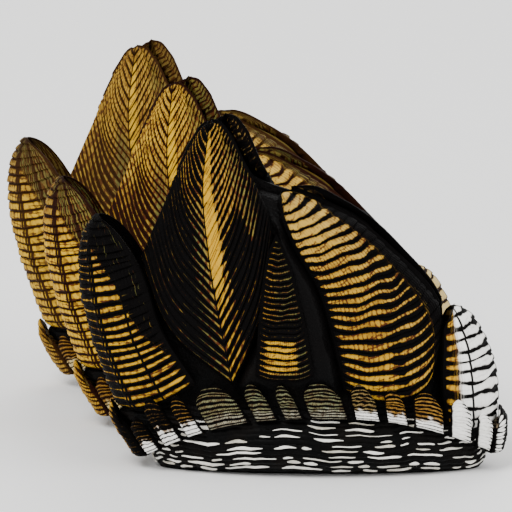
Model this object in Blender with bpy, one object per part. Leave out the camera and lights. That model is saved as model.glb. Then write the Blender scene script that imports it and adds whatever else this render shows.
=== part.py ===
"""Cluster of three goose barnacles, standing in ranks one behind the other.

Each barnacle is a leathery stalk, cut flat where it grew on the rock, with a flattened head that is shut in
by separate plates of shell: carina at the left end, rostrum at the right end, and a tergum, a scutum and an
upper latus on each side. A whorl of small plates goes round the foot of the head.

Units in this file are millimetres; the meshes are written in metres. Along X a barnacle runs from its carina
(-X) to its rostrum (+X), its near side faces -Y, and it stands on Z = 0.
"""

import math

import bmesh
import bpy
import numpy as np

MM = 0.001

# Head: half thickness of the living wall that the plates lie on, and where it starts to taper.
HEAD_HALF = 6.4
CREST_HALF = 0.4
TAPER_FROM = 8.0
CREST = 39.5
TAPER = 1.8
EDGE_ROUND = 0.2

# Outline of the head in side view, as (x, z) from the foot to the crest.
LEFT_OUTLINE = ((-16.5, 6), (-17.6, 10), (-18.3, 15), (-17.9, 20), (-16.7, 23.8), (-13.5, 30.9), (-8.9, 39))
RIGHT_OUTLINE = ((20.8, 6), (20.1, 10), (18.6, 14), (16.9, 17.3), (14, 20.9), (10.7, 24.4), (4.1, 29.2),
                 (-2.5, 31.3), (-7.0, 35.5), (-8.9, 39))

# The far valves stand a little higher than the near ones, and their tips further right.
FAR_SHIFT = (1.7, 0.5)
FAR_SHIFT_FROM = 12.0

# Layers, as distances out from the living wall.
GAP = 0.55
VALVE_OUT = 0.9
COVER_OUT = 2.2
VALVE_THICK = 0.8
HOOD_THICK = 0.85
WHORL_THICK = 0.8
THIN_AT_TIP = 0.25
TIP_THICKNESS = 0.2

# Side-view outlines of the valves, as (x, z). Each valve grows down from its apex.
TERGUM = dict(
    apex=(-8.9, 38.9),
    left=((-8.9, 38.9), (-9.8, 38.3), (-10.7, 36.9), (-13.6, 30.9), (-16.7, 23.8)),
    keel=((-8.9, 38.9), (-9.6, 31.5), (-8.9, 24.3), (-6.3, 10.6)),
    right=((-8.9, 38.9), (-7.9, 38.7), (-6.9, 37.6), (-5.0, 34.0), (-2.5, 29.4), (-2.0, 26.6)),
    margin_left=((-16.7, 23.8), (-13.2, 16.0), (-6.3, 10.6)),
    margin_right=((-6.3, 10.6), (-3.3, 17.5), (-2.0, 26.6)),
    fold=0.5, ridge_wide=0.5, lead=1.0, out=VALVE_OUT, across=8, down=6,
)
SCUTUM = dict(
    apex=(-1.3, 30.8),
    left=((-1.3, 30.8), (-1.2, 29.6), (0.2, 25.8), (2.9, 21.2), (4.7, 15.1), (5.9, 9.8)),
    keel=((-1.3, 30.8), (6.2, 24.2), (10.7, 17.6), (13.0, 8.8)),
    right=((-1.3, 30.8), (0.2, 31.1), (4.55, 29.5), (11.0, 24.7), (16.6, 17.3), (16.0, 12.6)),
    margin_left=((5.9, 9.8), (9.4, 8.7), (13.0, 8.8)),
    margin_right=((13.0, 8.8), (14.8, 9.9), (16.0, 12.6)),
    fold=0.5, ridge_wide=0.4, lead=0.8, out=VALVE_OUT, across=8, down=6,
)
UPPER_LATUS = dict(
    apex=(-1.6, 27.2),
    left=((-1.6, 27.2), (-2.2, 26.0), (-3.4, 19.0), (-3.9, 11.9)),
    keel=((-1.6, 27.2), (-0.9, 19.0), (-0.6, 11.3)),
    right=((-1.6, 27.2), (-0.9, 26.0), (1.3, 19.0), (2.6, 12.0)),
    margin_left=((-3.9, 11.9), (-2.3, 11.4), (-0.6, 11.3)),
    margin_right=((-0.6, 11.3), (1.1, 11.4), (2.6, 12.0)),
    fold=0.15, ridge_wide=0.8, lead=1.0, out=COVER_OUT, across=4, down=4,
)

# The two hoods wrap round the ends of the head: keel in the middle plane, wings over both sides.
CARINA = dict(
    keel=((-21.2, 28.3), (-22.2, 27.0), (-23.1, 21.6), (-22.0, 15.3), (-19.0, 6.7)),
    wing=((-21.2, 28.3), (-20.0, 27.6), (-16.8, 23.5), (-14.2, 16.4), (-10.5, 10.7)),
    sag=0.8, side=-1, out=1.8, across=10, down=6,
)
ROSTRUM = dict(
    keel=((17.7, 18.1), (18.7, 17.7), (20.8, 15.0), (22.3, 10.0), (22.2, 5.0)),
    wing=((17.7, 18.1), (17.05, 17.0), (16.8, 14.0), (16.7, 10.5), (17.1, 6.0)),
    sag=0.5, side=1, out=1.6, across=8, down=5,
)

# Whorl: two rings, the foot of its plates and their tips, each an oval with its own height all round, and the
# shape of the plates: how round their tips are, how square at the corners, how far their shoulders drop, and
# how far they bulge.
WHORL_FOOT = dict(centre=3.05, half_long=19.85, half_thick=8.35, blunt=0.8, flank=7.0, carinal=1.0, rostral=1.6)
WHORL_TIPS = dict(centre=1.5, half_long=21.85, half_thick=8.7, blunt=0.66, flank=11.2, carinal=7.5, rostral=7.0)
WHORL_DIP = 2.5
WHORL_TIP = dict(round=5.0, square=0.25, shoulder=0.12, bulge=0.35)
END_PLATE_TIP = dict(round=2.4, square=0.45, shoulder=0.22, bulge=0.5)
WHORL_GAP = 0.55
WHORL_WIDTHS = (0.78, 0.82, 0.76, 1.52, 0.93, 0.83, 1.45, 1.03, 0.91, 1.2, 0.96, 0.81)
END_PLATE_WIDTH = 6.4
SOLID_PLATES = (1, 4, 7, 10)
WHORL_GRID = (4, 4)
END_PLATE_GRID = (6, 4)

# Stalk sections below the head, as (z, left end, right end, half thickness), and the mantle above them: its
# levels, how far its ends stay inside the head's outline, and how far its upper part draws in further.
STALK = ((0.0, -14.4, 20.6, 3.8), (0.9, -15.0, 21.2, 5.6), (2.4, -15.4, 21.3, 7.1), (4.4, -15.9, 20.9, 7.7),
         (6.2, -16.3, 20.1, 7.4), (7.6, -16.6, 19.4, 6.3))
MANTLE_LEVELS = (9.5, 14.0, 18.5, 22.5, 26.0, 28.2, 29.6, 31.0, 33.0, 35.2)
MANTLE_ENDS = 0.8
MANTLE_INSET = 0.9
MANTLE_INSET_FROM = 27.0
MANTLE_BLUNT = 10
STALK_AROUND = 28

# Ranks of the cluster: scale, turn in degrees, and place of the foot.
RANKS = dict(
    front=(1.00, -0.8, (0.0, 0.0)),
    middle=(1.01, 1.0, (-4.2, 20.2)),
    rear=(1.02, -1.2, (-8.6, 40.6)),
)

# Colour, roughness and metallic value of each kind of piece.
LOOKS = dict(
    plate=((0.55, 0.36, 0.08, 1), 0.55, 0.0),
    bone=((0.72, 0.66, 0.50, 1), 0.60, 0.0),
    whorl=((0.34, 0.34, 0.26, 1), 0.65, 0.0),
    stalk=((0.035, 0.028, 0.022, 1), 0.50, 0.0),
)


def through(places, values, at):
    """Smooth curve through the given values: cubic pieces that share the mean slope at each place."""
    places, values = np.asarray(places, float), np.asarray(values, float)
    slopes = np.gradient(values, places)
    at = np.clip(at, places[0], places[-1])
    i = np.clip(np.searchsorted(places, at) - 1, 0, len(places) - 2)
    width = places[i + 1] - places[i]
    t = (at - places[i]) / width
    start = (1 + 2 * t) * (1 - t) ** 2 * values[i] + t * (1 - t) ** 2 * width * slopes[i]
    end = t * t * (3 - 2 * t) * values[i + 1] - t * t * (1 - t) * width * slopes[i + 1]
    return start + end


def along(points, share):
    """Points at the given shares of the length of a smooth curve through (x, z) points."""
    points = np.asarray(points, float)
    steps = np.hypot(*np.diff(points, axis=0).T)
    places = np.concatenate([[0.0], np.cumsum(steps)]) / steps.sum()
    return np.stack([through(places, points[:, 0], share), through(places, points[:, 1], share)], -1)


def outline_x(outline, z):
    """The outline's x at height z."""
    outline = np.asarray(sorted(outline, key=lambda point: point[1]), float)
    return through(outline[:, 1], outline[:, 0], z)


def head_half(z):
    """Half thickness of the living wall at height z, thinning to the crest."""
    share = np.clip((z - TAPER_FROM) / (CREST - TAPER_FROM), 0, 1)
    return CREST_HALF + (HEAD_HALF - CREST_HALF) * (1 - share**TAPER)


def lens(x, left, right, half):
    """Half thickness at x of a lens-shaped section between its left and right ends."""
    share = (2 * x - left - right) / (right - left)
    return half * np.sqrt(np.clip(1 - share**2, 0, 1))


def wall(x, z):
    """Half thickness of the living wall at (x, z)."""
    left = outline_x(LEFT_OUTLINE, z) - EDGE_ROUND
    right = outline_x(RIGHT_OUTLINE, z) + EDGE_ROUND
    return lens(x, left, right, head_half(z))


def to_far_side(points):
    """Mirrors near-side points to the far side, whose upper parts stand higher and further right."""
    x, y, z = np.moveaxis(points, -1, 0)
    rise = np.clip((z - FAR_SHIFT_FROM) / (CREST - FAR_SHIFT_FROM), 0, 1)
    rise = rise * rise * (3 - 2 * rise)
    return np.stack([x + FAR_SHIFT[0] * rise, -y, z + FAR_SHIFT[1] * rise], -1)


def valve_surface(valve, u, v):
    """Outer face of a valve: v grows from the apex to the margin, u from the left edge over the ridge."""
    apex = np.asarray(valve["apex"], float)
    u, v = u[..., None], v[..., None]

    def bend(edge, corner, share):
        return along(edge, share[..., 0]) - (apex + v * (np.asarray(corner, float) - apex))

    before = along(valve["margin_left"], 1 + np.minimum(u[..., 0], 0))
    after = along(valve["margin_right"], np.maximum(u[..., 0], 0))
    flat = apex + v * (np.where(u < 0, before, after) - apex)
    flat += np.maximum(-u, 0) * bend(valve["left"], valve["margin_left"][0], v)
    flat += np.maximum(u, 0) * bend(valve["right"], valve["margin_right"][-1], v ** valve["lead"])
    flat += (1 - np.abs(u)) * bend(valve["keel"], valve["margin_left"][-1], v)
    x, z = flat[..., 0], flat[..., 1]
    ridge = valve["fold"] * v[..., 0] * np.exp(-((u[..., 0] / valve["ridge_wide"]) ** 2))
    thinned = VALVE_THICK * (1 - TIP_THICKNESS) * (1 - np.minimum(v[..., 0] / THIN_AT_TIP, 1))
    return np.stack([x, -(wall(x, z) + valve["out"] + ridge - thinned), z], -1)


def hood_surface(hood, u, v):
    """Outer face of a carina or rostrum: u runs from the near wing over the keel to the far wing."""
    across = 1 - np.cos(np.pi / 2 * np.abs(u))
    keel, wing = along(hood["keel"], v), along(hood["wing"], v)
    flat = keel + (wing - keel) * across[..., None]
    x, z = flat[..., 0], flat[..., 1] - hood["sag"] * v * np.sin(np.pi * across)
    keel_x = outline_x(hood["keel"], z)
    out = hood["out"]
    if hood["side"] < 0:
        half = lens(np.maximum(x, keel_x), keel_x, outline_x(RIGHT_OUTLINE, z) + out, head_half(z) + out)
    else:
        half = lens(np.minimum(x, keel_x), outline_x(LEFT_OUTLINE, z) - out, keel_x, head_half(z) + out)
    return np.stack([x, np.sign(u) * half, z], -1)


def ring_height(ring, angle):
    """Height of a whorl ring: high on the flanks, low at the carinal and rostral ends."""
    end = np.where(np.cos(angle) > 0, ring["carinal"], ring["rostral"])
    return ring["flank"] - (ring["flank"] - end) * np.abs(np.cos(angle)) ** WHORL_DIP


def whorl_surface(middle, half_angle, tip_shape, u, v):
    """Outer face of one whorl plate: v grows from its rounded tip to its foot, u goes across it."""
    widen = (1 - (1 - v) ** tip_shape["round"]) ** tip_shape["square"]
    angle = middle + half_angle * u * widen
    up = (1 - v) * (1 - tip_shape["shoulder"] * u * u)
    out = tip_shape["bulge"] * (1 - u * u) * np.sqrt(np.clip(np.sin(np.pi * v), 0, 1))

    def between(name):
        return WHORL_FOOT[name] + (WHORL_TIPS[name] - WHORL_FOOT[name]) * up

    x = between("centre") - (between("half_long") + out) * np.cos(angle)
    y = -(between("half_thick") + out) * np.sign(np.sin(angle)) * np.abs(np.sin(angle)) ** between("blunt")
    foot, tip = ring_height(WHORL_FOOT, angle), ring_height(WHORL_TIPS, angle)
    return np.stack([x, y, foot + (tip - foot) * up], -1)


def whorl_angles():
    """Middle and half width, as angles round the oval, of the near side's plates and of the two end plates."""
    angle = np.linspace(0, np.pi, 2000)
    long_half, thick_half = WHORL_FOOT["half_long"], WHORL_FOOT["half_thick"]
    steps = np.hypot(np.diff(long_half * np.cos(angle)), np.diff(thick_half * np.sin(angle) ** WHORL_FOOT["blunt"]))
    length = np.concatenate([[0], np.cumsum(steps)])
    start, stop = END_PLATE_WIDTH / 2, length[-1] - END_PLATE_WIDTH / 2
    shares = np.concatenate([[0], np.cumsum(WHORL_WIDTHS)]) / np.sum(WHORL_WIDTHS)
    edges = start + (stop - start) * shares
    low = np.interp(edges[:-1] + WHORL_GAP / 2, length, angle)
    high = np.interp(edges[1:] - WHORL_GAP / 2, length, angle)
    ends = np.interp(start - WHORL_GAP / 2, length, angle)
    return (low + high) / 2, (high - low) / 2, ends


def grid(across, down):
    """Parameter grid: u from -1 to 1, and v from 0 at the tip to 1 at the margin."""
    return np.meshgrid(np.linspace(-1, 1, across + 1), np.linspace(0, 1, down + 1))


def in_cluster(points, rank):
    """Places a barnacle's own points in the cluster, in metres."""
    scale, turn, place = RANKS[rank]
    turn = math.radians(turn)
    x, y, z = np.moveaxis(points, -1, 0) * scale
    turned_x = x * math.cos(turn) - y * math.sin(turn) + place[0]
    turned_y = x * math.sin(turn) + y * math.cos(turn) + place[1]
    return np.stack([turned_x, turned_y, z], -1) * MM


def material(name, look):
    colour, roughness, metallic = LOOKS[look]
    made = bpy.data.materials.new(name)
    made.use_nodes = True
    shader = made.node_tree.nodes["Principled BSDF"]
    shader.inputs["Base Color"].default_value = colour
    shader.inputs["Roughness"].default_value = roughness
    shader.inputs["Metallic"].default_value = metallic
    return made


def add_object(name, mesh_builder, look):
    """Makes one named object from a bmesh, shaded smooth except at sharp edges."""
    mesh = bpy.data.meshes.new(name)
    mesh_builder.to_mesh(mesh)
    mesh_builder.free()
    mesh.shade_smooth()
    mesh.set_sharp_from_angle(angle=math.radians(35))
    made = bpy.data.objects.new(name, mesh)
    made.data.materials.append(material(name, look))
    bpy.context.scene.collection.objects.link(made)
    return made


def sheet(points, flip):
    """A bmesh over a grid of points, whose first row is one tip point; flip turns its faces over."""
    builder = bmesh.new()
    rows = [[builder.verts.new(points[0, 0])] * len(points[0])]
    rows += [[builder.verts.new(point) for point in row] for row in points[1:]]
    for upper, lower in zip(rows, rows[1:]):
        for i in range(len(upper) - 1):
            corners = list(dict.fromkeys([upper[i], lower[i], lower[i + 1], upper[i + 1]]))
            builder.faces.new(corners[::-1] if flip else corners)
    return builder


def plate(name, points, thickness, look, flip=False, thin_tip=True):
    """One shell plate: its outer face, thickened inwards, and thinner near its tip."""
    made = add_object(name, sheet(points, flip), look)
    solid = made.modifiers.new("Thickness", "SOLIDIFY")
    solid.thickness = thickness * MM
    solid.offset = -1.0
    if not thin_tip:
        return
    group = made.vertex_groups.new(name="thickness")
    rows, across = points.shape[:2]
    for index in range(len(made.data.vertices)):
        row = (index + across - 1) // across
        group.add([index], min(1.0, row / (rows - 1) / THIN_AT_TIP), "REPLACE")
    solid.vertex_group = group.name
    solid.thickness_vertex_group = TIP_THICKNESS


def add_valve(rank, name, valve, far):
    points = valve_surface(valve, *grid(valve["across"], valve["down"]))
    if far:
        points = to_far_side(points)
    side = "far" if far else "near"
    plate(f"{rank}_{name}_{side}", in_cluster(points, rank), VALVE_THICK, "plate", flip=far)


def add_hood(rank, name, hood, look):
    points = hood_surface(hood, *grid(hood["across"], hood["down"]))
    plate(f"{rank}_{name}", in_cluster(points, rank), HOOD_THICK, look, flip=hood["side"] < 0)


def add_whorl(rank):
    """The end plates and the solid plates of the whorl; the small plates between them are left out."""
    middles, halves, end_half = whorl_angles()
    for name, middle, look in (("subcarina", 0.0, "plate"), ("subrostrum", np.pi, "bone")):
        points = whorl_surface(middle, end_half, END_PLATE_TIP, *grid(*END_PLATE_GRID))
        plate(f"{rank}_{name}", in_cluster(points, rank), WHORL_THICK, look, thin_tip=False)
    for number, index in enumerate(SOLID_PLATES, start=1):
        for side, mirror in (("near", 1), ("far", -1)):
            points = whorl_surface(middles[index], halves[index], WHORL_TIP, *grid(*WHORL_GRID)) * (1, mirror, 1)
            name = f"{rank}_whorl_{side}_{number}"
            plate(name, in_cluster(points, rank), WHORL_THICK, "whorl", flip=mirror < 0, thin_tip=False)


def stalk_half(section, turn):
    """Near half of one section through the stalk, from its left end to its right end."""
    z, left, right, half = section
    x = (left + right) / 2 - (right - left) / 2 * np.cos(turn)
    return np.stack([x, -lens(x, left, right, half), np.full_like(x, z)], -1)


def mantle_half(z, turn):
    """Near half of one section through the mantle, just inside the wall and blunt at both ends."""
    inset = MANTLE_INSET * np.clip((z - MANTLE_INSET_FROM) / (MANTLE_LEVELS[-1] - MANTLE_INSET_FROM), 0, 1)
    left = outline_x(LEFT_OUTLINE, z) + MANTLE_ENDS + inset
    right = outline_x(RIGHT_OUTLINE, z) - MANTLE_ENDS - inset
    x = (left + right) / 2 - (right - left) / 2 * np.cos(turn)
    half = np.maximum(wall(x, z) - GAP - 1.4 * inset, 0) * np.sqrt(1 - np.cos(turn) ** MANTLE_BLUNT)
    return np.stack([x, -half, np.full_like(x, z)], -1)


def add_stalk(rank):
    """Stalk and mantle in one piece: sections skinned from the flat cut to under the crest."""
    turn = np.linspace(0, np.pi, STALK_AROUND // 2 + 1)
    halves = [stalk_half(section, turn) for section in STALK] + [mantle_half(z, turn) for z in MANTLE_LEVELS]
    builder = bmesh.new()
    rings = []
    for near in halves:
        far = to_far_side(near)[::-1]
        loop = np.concatenate([near[:-1], far[:-1]])
        rings.append([builder.verts.new(point) for point in in_cluster(loop, rank)])
    for lower, upper in zip(rings, rings[1:]):
        for i in range(len(lower)):
            j = (i + 1) % len(lower)
            builder.faces.new([lower[i], lower[j], upper[j], upper[i]])
    builder.faces.new(rings[0][::-1])
    builder.faces.new(rings[-1])
    add_object(f"{rank}_stalk", builder, "stalk")


def add_barnacle(rank):
    add_stalk(rank)
    add_hood(rank, "carina", CARINA, "plate")
    add_hood(rank, "rostrum", ROSTRUM, "bone")
    for far in (False, True):
        add_valve(rank, "tergum", TERGUM, far)
        add_valve(rank, "scutum", SCUTUM, far)
        add_valve(rank, "upper_latus", UPPER_LATUS, far)
    add_whorl(rank)


def centre_on_origin():
    """Moves the cluster so that the middle of its box, seen from above, is the origin."""
    bpy.context.view_layer.update()
    depsgraph = bpy.context.evaluated_depsgraph_get()
    objects = [made for made in bpy.context.scene.objects if made.type == "MESH"]
    corners = np.array([v.co for made in objects for v in made.evaluated_get(depsgraph).data.vertices])
    middle = (corners.min(0) + corners.max(0)) / 2
    for made in objects:
        made.location = (-middle[0], -middle[1], 0.0)


for old in list(bpy.data.objects):
    bpy.data.objects.remove(old, do_unlink=True)
for rank_name in RANKS:
    add_barnacle(rank_name)
centre_on_origin()
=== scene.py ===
"""Goose barnacle cluster: the finished surfaces of three barnacles that stand one behind the other.

Every shell plate is a thick plate with its growth ridges as real relief, and each barnacle's leathery stalk
has its wrinkles and its rows of small pale scales. The shapes are worked out in millimetres in a barnacle's
own frame, as the construction has them, and put in the cluster where the frame has that barnacle: carina at
-X, rostrum at +X, near side at -Y, and Z = 0 at the flat cut of the stalk. On every plate u runs across it
and v from its tip to its margin; phase counts its growth ridges, and s is phase as a share of them all.
"""
import math

import bpy
import numpy as np
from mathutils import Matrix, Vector


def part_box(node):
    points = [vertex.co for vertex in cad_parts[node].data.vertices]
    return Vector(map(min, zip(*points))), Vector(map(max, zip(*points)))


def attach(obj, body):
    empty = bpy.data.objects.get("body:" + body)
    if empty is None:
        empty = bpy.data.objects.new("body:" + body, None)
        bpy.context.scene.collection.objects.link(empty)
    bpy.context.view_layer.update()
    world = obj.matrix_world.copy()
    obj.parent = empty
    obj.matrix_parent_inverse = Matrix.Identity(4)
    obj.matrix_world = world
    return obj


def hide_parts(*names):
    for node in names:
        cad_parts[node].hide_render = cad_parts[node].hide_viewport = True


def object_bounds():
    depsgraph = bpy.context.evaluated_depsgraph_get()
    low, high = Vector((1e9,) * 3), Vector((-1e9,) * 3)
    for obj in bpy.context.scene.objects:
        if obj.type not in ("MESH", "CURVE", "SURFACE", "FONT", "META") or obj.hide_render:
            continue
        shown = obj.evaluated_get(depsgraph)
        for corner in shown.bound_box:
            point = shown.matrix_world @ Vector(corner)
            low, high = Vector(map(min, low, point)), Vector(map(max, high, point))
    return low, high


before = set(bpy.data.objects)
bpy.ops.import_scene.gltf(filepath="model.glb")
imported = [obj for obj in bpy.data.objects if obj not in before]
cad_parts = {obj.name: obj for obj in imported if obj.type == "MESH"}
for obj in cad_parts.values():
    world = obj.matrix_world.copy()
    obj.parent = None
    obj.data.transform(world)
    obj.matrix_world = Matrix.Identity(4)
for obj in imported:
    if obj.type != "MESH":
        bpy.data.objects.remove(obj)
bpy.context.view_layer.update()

MM = 0.001

# Head: half thickness of the living wall that the plates lie on, where it starts to taper, and its outline
# in side view, as (x, z). The upper parts of the far side stand higher and further right than the near ones.
HEAD_HALF = 6.4
CREST_HALF = 0.4
TAPER_FROM = 8.0
CREST = 39.5
TAPER = 1.8
EDGE_ROUND = 0.2
LEFT_OUTLINE = ((-16.5, 6), (-17.6, 10), (-18.3, 15), (-17.9, 20), (-16.7, 23.8), (-13.5, 30.9), (-8.9, 39))
RIGHT_OUTLINE = ((20.8, 6), (20.1, 10), (18.6, 14), (16.9, 17.3), (14, 20.9), (10.7, 24.4), (4.1, 29.2),
                 (-2.5, 31.3), (-7.0, 35.5), (-8.9, 39))
FAR_SHIFT = (1.7, 0.5)
FAR_SHIFT_FROM = 12.0

# Layers, as distances out from the living wall: the valves, the upper latus that covers their gap, and the
# skin, which lies inside the wall but swells in that gap and at the carinal and rostral ends.
VALVE_OUT = 0.9
COVER_OUT = 2.2
SKIN_GAP = 0.15
SKIN_SWELL = 1.5
END_SWELL = (2.6, 1.4)

# Plates: the share of their length near the tip that is thinner, and what is left of the thickness there;
# then what each plate has of its own, unless it says otherwise: thickness, height of the growth ridges, where
# ribs lie across it and how high they are, and how steeply the ridges climb towards its edges.
PLATE_THICK = 0.8
HOOD_THICK = 0.85
THIN_AT_TIP = 0.25
TIP_THICKNESS = 0.2
PLATE = dict(thick=PLATE_THICK, relief=0.20, ribs=(), rib_height=0.0, steep=0.0)

# Relief of all plates: half width of a rib; height and width of the rolled edge, and the share of the
# thickness that it may take; height of the slow swells; how far the ridges' spacing and course wander, in
# ridges; the angle from which an edge looks sharp; and the distance written where there is no rib.
RIB_HALF = 0.45
ROLL_HEIGHT = 0.34
ROLL_WIDTH = 0.9
ROLL_SHARE = 0.55
SWELL_HEIGHT = 0.05
SPACING_WANDER = 0.35
COURSE_WANDER = 0.11
SHARP_ANGLE = 48
NO_RIB = 9.0

# Grid of a plate: the extra columns at its edges, where rows of points lie within one growth ridge, and the
# height of the ridge there.
EDGE_COLUMNS = (-0.985, -0.965, 0.965, 0.985)
RIDGE_ROWS = (0.0, 0.10, 0.38, 0.68, 0.88, 0.95)
RIDGE_HEIGHTS = (0.0, 0.22, 0.72, 0.97, 1.0, 0.42)

# Side-view outlines of the valves, as (x, z), each edge starting at the apex; the height and width of the
# fold along the keel; how early the right edge fills out; and the number of growth ridges and of columns.
TERGUM = dict(
    PLATE,
    left=((-8.9, 38.9), (-9.8, 38.3), (-10.7, 36.9), (-13.6, 30.9), (-16.7, 23.8)),
    keel=((-8.9, 38.9), (-9.6, 31.5), (-8.9, 24.3), (-6.3, 10.6)),
    right=((-8.9, 38.9), (-7.9, 38.7), (-6.9, 37.6), (-5.0, 34.0), (-2.5, 29.4), (-2.0, 26.6)),
    margin_left=((-16.7, 23.8), (-13.2, 16.0), (-6.3, 10.6)),
    margin_right=((-6.3, 10.6), (-3.3, 17.5), (-2.0, 26.6)),
    fold=0.5, ridge_wide=0.5, lead=1.0, out=VALVE_OUT, ridges=25, across=44, ribs=(0.0,), rib_height=0.10,
    steep=0.35,
)
SCUTUM = dict(
    PLATE,
    left=((-1.3, 30.8), (-1.2, 29.6), (0.2, 25.8), (2.9, 21.2), (4.7, 15.1), (5.9, 9.8)),
    keel=((-1.3, 30.8), (6.2, 24.2), (10.7, 17.6), (13.0, 8.8)),
    right=((-1.3, 30.8), (0.2, 31.1), (4.55, 29.5), (11.0, 24.7), (16.6, 17.3), (16.0, 12.6)),
    margin_left=((5.9, 9.8), (9.4, 8.7), (13.0, 8.8)),
    margin_right=((13.0, 8.8), (14.8, 9.9), (16.0, 12.6)),
    fold=0.5, ridge_wide=0.4, lead=0.8, out=VALVE_OUT, ridges=23, across=48,
)
UPPER_LATUS = dict(
    PLATE,
    left=((-1.6, 27.2), (-2.2, 26.0), (-3.4, 19.0), (-3.9, 11.9)),
    keel=((-1.6, 27.2), (-0.9, 19.0), (-0.6, 11.3)),
    right=((-1.6, 27.2), (-0.9, 26.0), (1.3, 19.0), (2.6, 12.0)),
    margin_left=((-3.9, 11.9), (-2.3, 11.4), (-0.6, 11.3)),
    margin_right=((-0.6, 11.3), (1.1, 11.4), (2.6, 12.0)),
    fold=0.15, ridge_wide=0.8, lead=1.0, out=COVER_OUT, ridges=25, across=24,
)

# The two hoods wrap round the ends of the head: keel in the middle plane, wings over both sides, and a sag
# between them.
HOOD = dict(PLATE, thick=HOOD_THICK, rib_height=0.22)
CARINA = dict(
    HOOD,
    keel=((-21.2, 28.3), (-22.2, 27.0), (-23.1, 21.6), (-22.0, 15.3), (-19.0, 6.7)),
    wing=((-21.2, 28.3), (-20.0, 27.6), (-16.8, 23.5), (-14.2, 16.4), (-10.5, 10.7)),
    sag=0.8, side=-1, out=1.8, ridges=24, across=64, relief=0.22,
    ribs=(-0.76, -0.47, -0.42, 0.42, 0.47, 0.76),
)
ROSTRUM = dict(
    HOOD,
    keel=((17.7, 18.1), (18.7, 17.7), (20.8, 15.0), (22.3, 10.0), (22.2, 5.0)),
    wing=((17.7, 18.1), (17.05, 17.0), (16.8, 14.0), (16.7, 10.5), (17.1, 6.0)),
    sag=0.5, side=1, out=1.6, ridges=11, across=56, relief=0.16, ribs=(-0.64, 0.0, 0.64),
)

# Whorl: two rings, the foot of its plates and their tips, each an oval with its own height all round, and
# the shape of the plates: how round their tips are, how square at the corners, how far their shoulders
# drop, and how far they bulge. Some plates reach less far up. Those of SOLID_PLATES are solids too.
WHORL_FOOT = dict(centre=3.05, half_long=19.85, half_thick=8.35, blunt=0.8,
                  flank=7.0, carinal=1.0, rostral=1.6)
WHORL_TIPS = dict(centre=1.5, half_long=21.85, half_thick=8.7, blunt=0.66,
                  flank=11.2, carinal=7.5, rostral=7.0)
WHORL_DIP = 2.5
WHORL_PLATE = dict(PLATE, ridges=11, across=14, relief=0.11,
                   round=5.0, square=0.25, shoulder=0.12, bulge=0.35)
END_PLATE = dict(WHORL_PLATE, across=24, relief=0.14, round=3.0, square=0.40, shoulder=0.22, bulge=0.5)
WHORL_GAP = 0.55
WHORL_REACH = {0: 0.72, 2: 0.93, 5: 0.95, 8: 0.94, 11: 0.88}
WHORL_WIDTHS = (0.78, 0.82, 0.76, 1.52, 0.93, 0.83, 1.45, 1.03, 0.91, 1.2, 0.96, 0.81)
END_PLATE_WIDTH = 6.4
SOLID_PLATES = (1, 4, 7, 10)

# Stalk sections below the head, as (z, left end, right end, half thickness), and the mantle above them: how
# far its ends stay inside the head's outline, how its upper part draws in further, and where the join starts.
STALK = ((0.0, -14.4, 20.6, 3.8), (0.9, -15.0, 21.2, 5.6), (2.4, -15.4, 21.3, 7.1), (4.4, -15.9, 20.9, 7.7),
         (6.2, -16.3, 20.1, 7.4), (7.6, -16.6, 19.4, 6.3))
MANTLE_FROM = 9.5
MANTLE_TOP = 35.2
MANTLE_ENDS = 0.8
MANTLE_INSET = 0.9
MANTLE_INSET_FROM = 27.0
MANTLE_BLUNT = 10
MANTLE_THINNING = 1.4
MANTLE_DOME = 0.9
JOIN_FROM = 7.0

# Stalk skin: distance from wrinkle to wrinkle, their height and that of the pleats, the points round it,
# and the heights and number of its rows in the wrinkled and in the smooth part.
WRINKLE_STEP = 0.62
WRINKLE_HEIGHT = 0.17
PLEAT_HEIGHT = 0.05
SKIN_AROUND = 288
SKIN_ROWS = ((0.0, 8.4, 84), (8.7, MANTLE_TOP, 56))

# Scales: the wrinkles that bear them, the mean radius that turns a length into an angle, ranges of half
# lengths, half heights in wrinkles and gaps, how much longer some are, their thickness, the share that is
# there, the heights between which they lie, and each one's rows and the points round it.
SCALE_ROWS = 11
STALK_RADIUS = 13.5
SCALE_LONG = (0.4, 1.5)
SCALE_HIGH = (0.10, 0.27)
SCALE_GAP = (0.15, 0.9)
SCALE_LONGER = 1.6
SCALE_THICK = 0.17
SCALES_THERE = 0.80
SCALES_WITHIN = (0.25, 7.0)
SCALE_POINTS = (9, 6)

# Turn of each barnacle in degrees, and the seed of its irregularities.
RANKS = dict(front=(-0.8, 3), middle=(1.0, 17), rear=(-1.2, 29))

# Studio: the lights as name, place in metres, size and watts; and the camera's aim to the right of the
# front barnacle's middle and above the object's, its angle down, distance and lens.
LIGHTS = (("key", (-0.45, -0.75, 0.95), 0.6, 16), ("fill", (0.85, -0.6, 0.5), 0.9, 6),
          ("back", (0.2, 0.9, 0.8), 0.8, 7))
FLOOR_HALF = 4.0
AIM_RIGHT = 0.3
AIM_UP = 3.55
CAMERA_DOWN = 12
CAMERA_AWAY = 0.9
LENS = 571


def srgb(red, green, blue):
    """A display colour, 0 to 255, as a linear colour with alpha."""
    share = np.array((red, green, blue)) / 255
    linear = np.where(share <= 0.04045, share / 12.92, ((share + 0.055) / 1.055) ** 2.4)
    return (*linear.tolist(), 1.0)


# ---------------------------------------------------------------- curves and sections

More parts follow.
